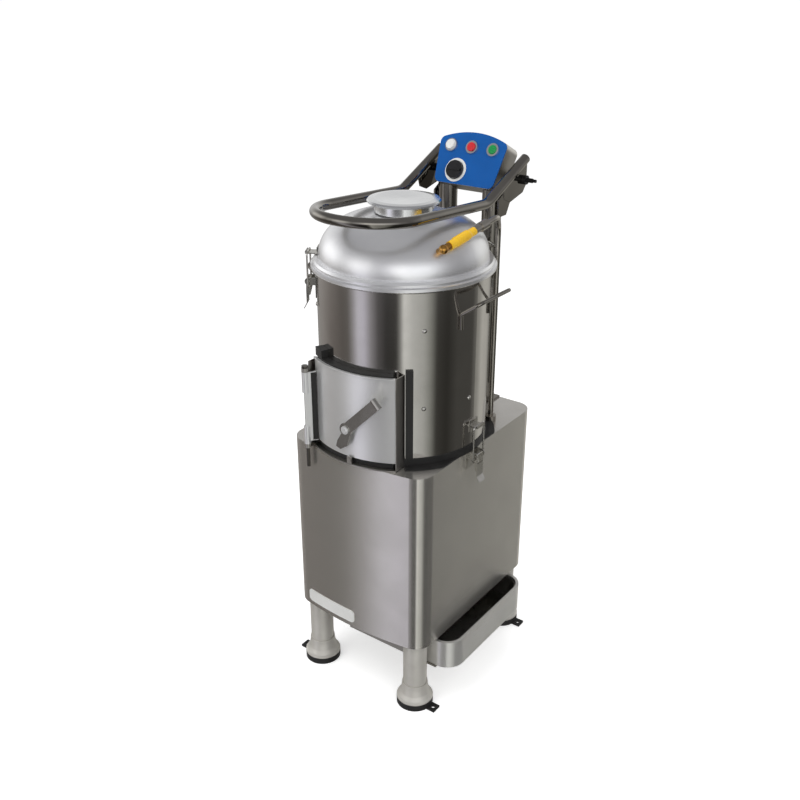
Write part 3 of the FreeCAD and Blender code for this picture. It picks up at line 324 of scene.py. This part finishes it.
class PeelerStudio(bpy.types.PropertyGroup):
    """Camera and floor of the studio."""
    azimuth: FloatProperty(name="Azimuth", description="Camera turn from the front towards the right",
                           default=math.radians(36.23), unit="ROTATION")
    pitch: FloatProperty(name="Pitch", description="Camera tilt below the horizontal",
                         default=math.radians(24.83), unit="ROTATION")
    place: FloatVectorProperty(name="Camera place", description="Camera position",
                               default=(1.170, -1.6594, 1.6019), size=3, subtype="TRANSLATION", unit="LENGTH")
    lens: FloatProperty(name="Lens", description="Focal length on a 36 mm sensor", default=43.997,
                        unit="CAMERA")
    floor_side: FloatProperty(name="Floor side", description="Side of the studio floor", default=80.0,
                              unit="LENGTH")


# The machine

class PEELER_OT_cabinet(bpy.types.Operator):
    """Brushed stainless cabinet, its frame, rear cover, drawer and bare badge plate"""
    bl_idname = "peeler.cabinet"
    bl_label = "Cabinet and drawer"

    def execute(self, context):
        rough = context.scene.peeler_finishes.cabinet_roughness
        paint(grained_steel("Brushed stainless, belt grain level", "#D8D5CF", "#CECBC5", rough, turned=True,
                            stretch=0.85, metal=0.88), "cabinet_shell")
        paint(grained_steel("Brushed stainless cover sheet", "#CDCAC4", "#C2BEB8", 0.36),
              "rear_cover", "strainer_basket", "panel_box")
        paint(grained_steel("Satin stainless drawer sheet", "#EAE9E6", "#DEDDD9", 0.3, metal=0.7),
              "peel_drawer")
        paint(grained_steel("Folded stainless frame sheet", "#B9B6B0", "#A9A6A0", 0.4,
                            grain=(3.33, 167, 3.33)), "base_frame", "chute_frame")
        paint(bright_metal("Pressed lever, polished edges", "#C9C7C3", "#A9A6A0", 0.16), "door_lever")
        paint(moulded("White acrylic plate, moulded", "#E6E6E4", "#DADAD7", 0.35), "badge_plate")
        return {"FINISHED"}


class PEELER_OT_drum(bpy.types.Operator):
    """Polished drum, spun dome, feed cap, door, the rubber between them and a black strip of painted shade by
    the hinge
    """
    bl_idname = "peeler.drum"
    bl_label = "Drum, dome and door"

    def execute(self, context):
        looks = context.scene.peeler_finishes
        paint(bright_metal("Polished stainless drum sheet", "#D6D3CF", "#CBC8C4", looks.drum_roughness),
              "drum_wall")
        paint(spun_aluminium("Spun aluminium, satin", "#F2F2F3", "#E8E8EA", looks.dome_roughness), "dome_lid")
        paint(bright_metal("Polished aluminium cap", "#EFF0F0", "#E4E5E6", 0.16), "feed_cap")
        paint(grained_steel("Satin stainless door sheet", "#F0F0F0", "#E8E8E7", 0.34, turned=True,
                            metal=0.75), "door_panel")
        # A thin black sheet of painted shade along the hinge leaf, for the dark gap between leaf and door; it
        # takes the rubber's black.
        hinge_shade_strip()
        # The plinth ring is partly the drum's black rubber seat and partly painted shade: its wide black
        # flange darkens the cabinet top round the drum's foot, where shade falls.
        paint(moulded("Nitrile rubber and painted-shade black, moulded", "#121211", "#1F1E1D", 0.55, sheen=0.05), "door_gasket",
              "plinth_ring", "lid_gasket", "foot_pads", "shaft_seal", "drive_belt", "hinge_shade_strip")
        paint(gritted("Carborundum grit in resin", "#1B1A19", "#4A4744"), "abrasive_disc", "abrasive_liner")
        return {"FINISHED"}


class PEELER_OT_tubes(bpy.types.Operator):
    """Polished tubes: legs, feet, bail, control posts, handles"""
    bl_idname = "peeler.tubes"
    bl_label = "Tubes and legs"

    def execute(self, context):
        paint(bright_metal("Polished stainless tube", "#8F8B84", "#827E78", 0.05), "safety_bail",
              "carry_handle_right", "carry_handle_left", "control_posts")
        paint(powder("Aluminium-grey powder coat", "#D2CFC8", "#C6C3BC", 0.42), "leg_tubes", "foot_flares")
        return {"FINISHED"}


class PEELER_OT_fittings(bpy.types.Operator):
    """Latches, hinge, screws, water parts and the drive inside the cabinet"""
    bl_idname = "peeler.fittings"
    bl_label = "Fittings and drive"

    def execute(self, context):
        paint(bright_metal("Oiled steel rod", "#77736D", "#605D58", 0.18), "hinge_pin")
        zinc = bright_metal("Bright zinc plate on pressed steel", "#CFCDC8", "#B8B5AE", 0.2, haze=0.1,
                            patch=16.7)
        paint(zinc, "latch_bases", "latch_hooks", "dome_head_screws", "bearings", "main_shaft")
        paint(zinc, *[latch + part for latch in LATCHES for part in ("_lever", "_loop")])
        paint(bright_metal("Turned brass", "#D9A85B", "#B98843", 0.22), "water_nipple", "inlet_valve")
        paint(bright_metal("Drawn steel pipe", "#B9B4AC", "#A8A39B", 0.2), "supply_pipe")
        paint(moulded("Yellow ABS, gloss", "#F2C531", "#E8B51E", 0.25, depth=0.01), "quick_coupling")
        paint(moulded("Black nylon, moulded", "#0D0D0E", "#1A1A1B", 0.4), "cable_gland", "drain_pipe",
              "pivot_bolts", "contact_blocks")
        paint(enamelled("Grey motor enamel", "#4C5257", "#42474B", 0.45, coat=0.1), "motor")
        paint(cast("Cast iron, machined", "#4A4947", "#66645F", 0.45), "motor_pulley", "driven_pulley",
              "bearing_housing")
        return {"FINISHED"}


class PEELER_OT_controls(bpy.types.Operator):
    """Blue fascia with its lamp, buttons and timer"""
    bl_idname = "peeler.controls"
    bl_label = "Control panel"

    def execute(self, context):
        blue = np.array(context.scene.peeler_finishes.fascia_colour)
        shade = 0.88
        paint(enamelled("Blue stove enamel", blue, blue * shade, 0.42, coat=0.05, specular=0.22),
              "blue_fascia")
        paint(bright_metal("Chromed bezel", "#DDDDDF", "#CFCFD2", 0.08), "button_bezels")
        paint(lens("Clouded polycarbonate lens", "#F0F0EE", "#E4E4E2"), "pilot_lamp")
        paint(moulded("Signal red urea plastic", "#D5262F", "#C41F29", 0.28, depth=0.01), "stop_button")
        paint(moulded("Signal green urea plastic", "#089448", "#067F3D", 0.28, depth=0.01), "start_button")
        paint(moulded("White dial plastic", "#F2F2F0", "#E6E6E4", 0.35, depth=0.01), "timer_ring")
        paint(moulded("Black phenolic knob", "#0B0A0D", "#151317", 0.32), "timer_knob")
        return {"FINISHED"}


# The studio

# What polished metal reflects below eye level, all round the studio: dark screens with pale gaps between
# them. Each stop is an azimuth in degrees, 0 towards the camera and 90 to its right, and a colour.
LOW_BANDS = ((-180, "#605E5B"), (-160, "#8C8A87"), (-135, "#8A8683"), (-110, "#706B68"), (-88, "#5E5A57"),
             (-78, "#625F5C"), (-70, "#949295"), (-62, "#C6C5CF"), (-54, "#C2C0CC"), (-44, "#8B898D"),
             (-34, "#555354"), (-22, "#363534"), (-9, "#363533"), (-4, "#8A8A87"), (0, "#D6D7D4"),
             (12, "#BBBCB9"), (26, "#ABACA8"), (36, "#82837E"), (44, "#3C3B38"), (60, "#302F2C"),
             (76, "#454441"), (104, "#454441"), (116, "#8A8984"), (128, "#B0AFA9"), (146, "#A5A39D"),
             (162, "#6B6965"), (180, "#605E5B"))
# What it reflects from eye level up: soft boxes and the dimmer wall between them.
HIGH_BANDS = ((-180, "#B4B4B4"), (-142, "#BEBEBE"), (-130, "#F0F0F0"), (-104, "#F0F0F0"), (-92, "#B4B4B4"),
              (-78, "#CACACA"), (-66, "#F2F2F2"), (-50, "#E2E2E2"), (-36, "#9C9C9E"), (-22, "#C4C4C8"),
              (-8, "#FFFFFF"), (22, "#F0F2F4"), (40, "#CECFD1"), (58, "#88888A"), (80, "#6E6E70"),
              (104, "#949496"), (126, "#C6C6C4"), (150, "#BCBCBA"), (180, "#B4B4B4"))
CEILING = "#747476"
# Heights on the world's sphere, as sines of the elevation, between which one ring of bands, and then the
# ceiling, takes over from the one below.
HIGH_START, HIGH_END = -0.36, 0.12
CEILING_START, CEILING_END = 0.18, 0.62
# Strengths of the world: on matt surfaces, and in metal at the low and the high bands.
MATT_LIGHT = 0.62
LOW_LIGHT, HIGH_LIGHT = 1.2, 1.7
# Strength that the camera alone sees added to the floor, so that it meets the white background.
FLOOR_GLOW = 0.5
# Height of the point on the drum's axis that the lamps are aimed at.
LIT_HEIGHT = 0.7
# The camera's sensor in millimetres, and the furthest that it sees in metres, past the floor's corners.
SENSOR_WIDTH = 36
FAR_CLIP = 200


def ring_of_light(tree, share, bands):
    """One ring of the studio: its colour by the share of a full turn, which starts beyond the machine."""
    ring = add(tree, "ShaderNodeValToRGB", wires={"Fac": share})
    stops = ring.color_ramp.elements
    while len(stops) < len(bands):
        stops.new(0.5)
    for stop, (angle, code) in zip(stops, bands):
        stop.position = (angle + 180) / 360
        stop.color = linear(code)
    return ring.outputs["Color"]


def studio_world(camera_azimuth):
    """A world that is white to the camera, plain grey to matt surfaces and a banded studio to metal."""
    world = bpy.data.worlds.new("Studio")
    bpy.context.scene.world = world
    world.use_nodes = True
    tree = world.node_tree
    tree.nodes.clear()
    coords = add(tree, "ShaderNodeTexCoord").outputs["Generated"]
    turned = add(tree, "ShaderNodeVectorRotate", {"Axis": (0, 0, 1), "Angle": -camera_azimuth},
                 {"Vector": coords}, rotation_type="AXIS_ANGLE").outputs[0]
    split = add(tree, "ShaderNodeSeparateXYZ", wires={0: turned})
    back = add(tree, "ShaderNodeMath", {1: -1.0}, {0: split.outputs["Y"]}, operation="MULTIPLY").outputs[0]
    angle = add(tree, "ShaderNodeMath", wires={0: split.outputs["X"], 1: back},
                operation="ARCTAN2").outputs[0]
    share = add(tree, "ShaderNodeMapRange", {"From Min": -math.pi, "From Max": math.pi},
                {"Value": angle}).outputs["Result"]
    height = split.outputs["Z"]
    high = add(tree, "ShaderNodeMapRange", {"From Min": HIGH_START, "From Max": HIGH_END}, {"Value": height},
               interpolation_type="SMOOTHSTEP").outputs["Result"]
    top = add(tree, "ShaderNodeMapRange", {"From Min": CEILING_START, "From Max": CEILING_END},
              {"Value": height}, interpolation_type="SMOOTHSTEP").outputs["Result"]
    low_ring = ring_of_light(tree, share, LOW_BANDS)
    high_ring = ring_of_light(tree, share, HIGH_BANDS)
    walls = add(tree, "ShaderNodeMix", wires={MIX_SHARE: high, MIX_FIRST: low_ring, MIX_SECOND: high_ring},
                data_type="RGBA").outputs[MIX_RESULT]
    room = add(tree, "ShaderNodeMix", {MIX_SECOND: linear(CEILING)}, {MIX_SHARE: top, MIX_FIRST: walls},
               data_type="RGBA").outputs[MIX_RESULT]
    power = add(tree, "ShaderNodeMapRange", {"To Min": LOW_LIGHT, "To Max": HIGH_LIGHT},
                {"Value": high}).outputs["Result"]
    metal = add(tree, "ShaderNodeBackground", wires={"Color": room, "Strength": power}).outputs[0]
    matt = add(tree, "ShaderNodeBackground", {"Color": linear("#F4F4F4"), "Strength": MATT_LIGHT}).outputs[0]
    white = add(tree, "ShaderNodeBackground", {"Color": linear("#FFFFFF"), "Strength": 1.0}).outputs[0]
    ray = add(tree, "ShaderNodeLightPath").outputs
    straight = add(tree, "ShaderNodeMath", wires={0: ray["Is Camera Ray"], 1: ray["Is Transmission Ray"]},
                   operation="MAXIMUM").outputs[0]
    lit = add(tree, "ShaderNodeMixShader", wires={0: ray["Is Glossy Ray"], 1: matt, 2: metal}).outputs[0]
    seen = add(tree, "ShaderNodeMixShader", wires={0: straight, 1: lit, 2: white}).outputs[0]
    add(tree, "ShaderNodeOutputWorld", wires={"Surface": seen})


def soft_box(name, azimuth, elevation, distance, size, watts):
    """A square area lamp aimed at the drum, by an azimuth from the front to the right and an elevation."""
    target = np.array([0.0, DRUM_Y, LIT_HEIGHT])
    turn = math.radians(azimuth)
    rise = math.radians(elevation)
    away = np.array([math.sin(turn) * math.cos(rise), -math.cos(turn) * math.cos(rise), math.sin(rise)])
    lamp = bpy.data.lights.new(name, "AREA")
    lamp.size = size
    lamp.energy = watts
    item = bpy.data.objects.new(name, lamp)
    item.location = target + away * distance
    item.rotation_euler = (math.pi / 2 - rise, 0, turn)
    item.visible_glossy = False
    bpy.context.scene.collection.objects.link(item)


def studio_floor(side):
    """A pale square floor that metal doesn't reflect, as pale as the background to the camera."""
    half = side / 2
    mesh = bpy.data.meshes.new("studio_floor")
    corners = [(-half, -half, 0), (half, -half, 0), (half, half, 0), (-half, half, 0)]
    mesh.from_pydata(corners, [], [(0, 1, 2, 3)])
    floor = bpy.data.objects.new("studio_floor", mesh)
    floor.visible_glossy = False
    bpy.context.scene.collection.objects.link(floor)
    material, tree, shader, _ = fresh("Pale studio floor")
    plug(tree, shader, {"Base Color": linear("#F6F6F6"), "Roughness": 0.9, "Specular IOR Level": 0.0})
    glow = add(tree, "ShaderNodeEmission", {"Color": linear("#FFFFFF"), "Strength": FLOOR_GLOW}).outputs[0]
    ray = add(tree, "ShaderNodeLightPath").outputs
    extra = add(tree, "ShaderNodeMixShader", wires={0: ray["Is Camera Ray"], 2: glow}).outputs[0]
    both = add(tree, "ShaderNodeAddShader", wires={0: shader.outputs[0], 1: extra}).outputs[0]
    plug(tree, tree.get_output_node("ALL"), wires={"Surface": both})
    mesh.materials.append(material)


def studio_camera(studio):
    """The camera that took the photograph, as it was worked out from the machine's corners and rims."""
    data = bpy.data.cameras.new("camera")
    data.sensor_fit = "HORIZONTAL"
    data.sensor_width = SENSOR_WIDTH
    data.lens = studio.lens
    data.clip_end = FAR_CLIP
    camera = bpy.data.objects.new("camera", data)
    camera.location = studio.place
    camera.rotation_euler = (math.pi / 2 - studio.pitch, 0, studio.azimuth)
    bpy.context.scene.collection.objects.link(camera)
    bpy.context.scene.camera = camera


class PEELER_OT_stage(bpy.types.Operator):
    """Pale floor, soft lamps, world and camera"""
    bl_idname = "peeler.stage"
    bl_label = "Studio"

    def execute(self, context):
        scene = context.scene
        studio = scene.peeler_studio
        studio_floor(studio.floor_side)
        studio_world(studio.azimuth)
        soft_box("soft_box_key", azimuth=-24, elevation=52, distance=2.6, size=1.4, watts=26)
        soft_box("soft_box_fill", azimuth=70, elevation=40, distance=2.8, size=1.6, watts=14)
        soft_box("soft_box_rear", azimuth=190, elevation=55, distance=2.8, size=1.6, watts=14)
        studio_camera(studio)
        scene.view_settings.view_transform = "Standard"
        return {"FINISHED"}


class PEELER_PT_sidebar(bpy.types.Panel):
    """Lists the operators and the settings of the potato peeler"""
    bl_label = "Potato peeler"
    bl_idname = "PEELER_PT_sidebar"
    bl_space_type = "VIEW_3D"
    bl_region_type = "UI"
    bl_category = "Peeler"

    def draw(self, context):
        for group in (context.scene.peeler_finishes, context.scene.peeler_studio):
            for name in group.__annotations__:
                self.layout.prop(group, name)
        for operator in STEPS:
            self.layout.operator(operator.bl_idname)


STEPS = (PEELER_OT_cabinet, PEELER_OT_drum, PEELER_OT_tubes, PEELER_OT_fittings, PEELER_OT_controls,
         PEELER_OT_stage)
CLASSES = (PeelerFinishes, PeelerStudio, *STEPS, PEELER_PT_sidebar)


def register():
    """Register the settings, the operators and the panel."""
    for item in CLASSES:
        bpy.utils.register_class(item)
    bpy.types.Scene.peeler_finishes = PointerProperty(type=PeelerFinishes)
    bpy.types.Scene.peeler_studio = PointerProperty(type=PeelerStudio)


def unregister():
    """Take everything away again that register added."""
    del bpy.types.Scene.peeler_finishes
    del bpy.types.Scene.peeler_studio
    for item in reversed(CLASSES):
        bpy.utils.unregister_class(item)


def main():
    """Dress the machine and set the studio."""
    register()
    bpy.ops.peeler.cabinet()
    bpy.ops.peeler.drum()
    bpy.ops.peeler.tubes()
    bpy.ops.peeler.fittings()
    bpy.ops.peeler.controls()
    bpy.ops.peeler.stage()


if __name__ == "__main__":
    main()
